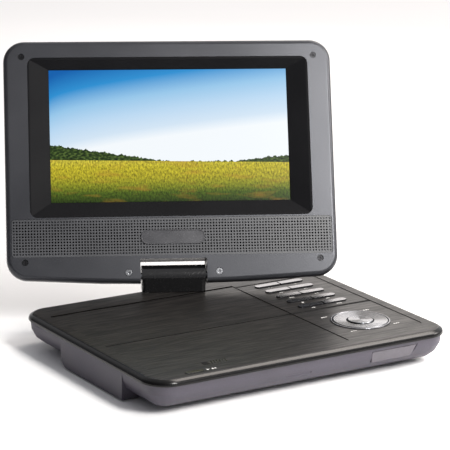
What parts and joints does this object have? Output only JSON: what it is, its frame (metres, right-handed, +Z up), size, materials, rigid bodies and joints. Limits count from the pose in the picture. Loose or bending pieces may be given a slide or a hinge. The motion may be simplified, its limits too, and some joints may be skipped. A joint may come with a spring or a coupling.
{
  "type": "portable dvd player",
  "caption": "Clamshell portable DVD player: swivelling, tilting widescreen display on a base with a hinged disc lid, key rows and a round direction pad.",
  "frame": {"origin": "middle of the base on the surface the feet stand on", "axes": "+X to the right across the base, +Y to the hinge at the rear, +Z up"},
  "size_m": [0.2263, 0.2579, 0.1733],
  "materials": {
    "case_plastic": "fine matt texture",
    "brushed_film": "dark film with brushed lines along X",
    "dark_plastic": "matt",
    "circuit_board": "solder mask",
    "battery_wrap": "heat-shrink film",
    "sheet_steel": "plated sheet",
    "polished_steel": "polished",
    "rubber": "matt",
    "yellow_plastic": "moulded",
    "window_plastic": "smoked",
    "key_chrome": "satin chrome plating",
    "lens_glass": "coated lens",
    "gloss_black": "gloss",
    "housing_plastic": "metallic grey, satin",
    "rear_plastic": "satin black",
    "display_panel": "picture under a clear sheet",
    "badge_metal": "thin raised outline",
    "black_screw": "blackened steel"
  },
  "bodies": {
    "base": {"bottom_case": "case_plastic", "top_case": "brushed_film", "control_plate": "brushed_film", "deck_plate": "dark_plastic", "main_board": "circuit_board", "battery_pack": "battery_wrap", "mech_chassis": "sheet_steel", "spindle_motor": "sheet_steel", "sled_rails": "polished_steel", "sled_motor": "sheet_steel", "dampers": "rubber", "key_board": "circuit_board", "dome_switches": "polished_steel", "rubber_feet": "rubber", "case_screws": "polished_steel", "dc_jack": "dark_plastic", "headphone_jack": "dark_plastic", "av_jack": "yellow_plastic", "usb_port": "sheet_steel", "ir_window": "window_plastic", "hinge_plate": "sheet_steel", "dpad_frame": "key_chrome"},
    "lid": {"disc_lid": "brushed_film", "lid_latch": "dark_plastic"},
    "open_button": {"open_button": "key_chrome"},
    "spindle": {"rotor": "sheet_steel", "disc_hub": "dark_plastic"},
    "sled": {"pickup_sled": "sheet_steel", "pickup_lens": "lens_glass"},
    "lead_screw": {"lead_screw": "polished_steel"},
    "key_1_left": {"key_1_left": "key_chrome"},
    "key_1_right": {"key_1_right": "key_chrome"},
    "key_2_left": {"key_2_left": "key_chrome"},
    "key_2_right": {"key_2_right": "key_chrome"},
    "key_3_left": {"key_3_left": "key_chrome"},
    "key_3_right": {"key_3_right": "key_chrome"},
    "key_4_left": {"key_4_left": "key_chrome"},
    "key_4_right": {"key_4_right": "key_chrome"},
    "key_5_left": {"key_5_left": "key_chrome"},
    "key_5_right": {"key_5_right": "key_chrome"},
    "dpad_ring": {"dpad_ring": "key_chrome"},
    "ok_button": {"ok_button": "key_chrome"},
    "power_switch": {"power_switch": "dark_plastic"},
    "volume_wheel": {"volume_wheel": "dark_plastic"},
    "swivel": {"hinge_block": "gloss_black", "block_cap": "dark_plastic", "swivel_shaft": "polished_steel", "swivel_clip": "sheet_steel"},
    "screen": {"front_housing": "housing_plastic", "rear_cover": "rear_plastic", "display_frame": "gloss_black", "lcd_panel": "display_panel", "speaker_grille": "housing_plastic", "badge": "badge_metal", "speakers": "dark_plastic", "lcd_board": "circuit_board", "front_screws": "black_screw", "hinge_screws": "polished_steel", "tilt_shafts": "polished_steel"}
  },
  "joints": [
    {"name": "screen_swivel", "type": "hinge", "parent": "base", "child": "swivel", "pos_m": [0, 0.0737, 0.0316], "axis": [0, 0, 1], "range_deg": [-154, 26]},
    {"name": "screen_tilt", "type": "hinge", "parent": "swivel", "child": "screen", "pos_m": [0, 0.0737, 0.0316], "axis": [-0.8988, 0.4384, 0], "range_deg": [-114, 66]},
    {"name": "lid_hinge", "type": "hinge", "parent": "base", "child": "lid", "pos_m": [-0.0297, 0.0593, 0.0208], "axis": [-1, 0, 0], "range_deg": [0, 30]},
    {"name": "open_press", "type": "slide", "parent": "base", "child": "open_button", "axis": [0, 0, -1], "range_m": [0, 0.0008], "stiffness_N_per_m": 300},
    {"name": "spindle_spin", "type": "hinge", "parent": "base", "child": "spindle", "pos_m": [-0.03, -0.0045, 0.017], "axis": [0, 0, 1], "continuous": true},
    {"name": "sled_travel", "type": "slide", "parent": "base", "child": "sled", "axis": [0, -1, 0], "range_m": [0, 0.032]},
    {"name": "lead_screw_turn", "type": "hinge", "parent": "base", "child": "lead_screw", "pos_m": [-0.0098, -0.04, 0.0096], "axis": [0, 1, 0], "range_deg": [0, 3840.1]},
    {"name": "key_1_left_press", "type": "slide", "parent": "base", "child": "key_1_left", "axis": [0, 0, -1], "range_m": [0, 0.0006], "stiffness_N_per_m": 300},
    {"name": "key_1_right_press", "type": "slide", "parent": "base", "child": "key_1_right", "axis": [0, 0, -1], "range_m": [0, 0.0006], "stiffness_N_per_m": 300},
    {"name": "key_2_left_press", "type": "slide", "parent": "base", "child": "key_2_left", "axis": [0, 0, -1], "range_m": [0, 0.0006], "stiffness_N_per_m": 300},
    {"name": "key_2_right_press", "type": "slide", "parent": "base", "child": "key_2_right", "axis": [0, 0, -1], "range_m": [0, 0.0006], "stiffness_N_per_m": 300},
    {"name": "key_3_left_press", "type": "slide", "parent": "base", "child": "key_3_left", "axis": [0, 0, -1], "range_m": [0, 0.0006], "stiffness_N_per_m": 300},
    {"name": "key_3_right_press", "type": "slide", "parent": "base", "child": "key_3_right", "axis": [0, 0, -1], "range_m": [0, 0.0006], "stiffness_N_per_m": 300},
    {"name": "key_4_left_press", "type": "slide", "parent": "base", "child": "key_4_left", "axis": [0, 0, -1], "range_m": [0, 0.0006], "stiffness_N_per_m": 300},
    {"name": "key_4_right_press", "type": "slide", "parent": "base", "child": "key_4_right", "axis": [0, 0, -1], "range_m": [0, 0.0006], "stiffness_N_per_m": 300},
    {"name": "key_5_left_press", "type": "slide", "parent": "base", "child": "key_5_left", "axis": [0, 0, -1], "range_m": [0, 0.0006], "stiffness_N_per_m": 300},
    {"name": "key_5_right_press", "type": "slide", "parent": "base", "child": "key_5_right", "axis": [0, 0, -1], "range_m": [0, 0.0006], "stiffness_N_per_m": 300},
    {"name": "dpad_press", "type": "slide", "parent": "base", "child": "dpad_ring", "axis": [0, 0, -1], "range_m": [0, 0.0005], "stiffness_N_per_m": 400},
    {"name": "ok_press", "type": "slide", "parent": "base", "child": "ok_button", "axis": [0, 0, -1], "range_m": [0, 0.0005], "stiffness_N_per_m": 300},
    {"name": "power_slide", "type": "slide", "parent": "base", "child": "power_switch", "axis": [0, 1, 0], "range_m": [0, 0.003]},
    {"name": "volume_turn", "type": "hinge", "parent": "base", "child": "volume_wheel", "pos_m": [0.0987, -0.0026, 0.01], "axis": [0, 0, 1], "range_deg": [-135, 135]}
  ],
  "couplings": [
    {"joint": "lead_screw_turn", "follows": "sled_travel", "rad_per_m": 2094.4}
  ]
}
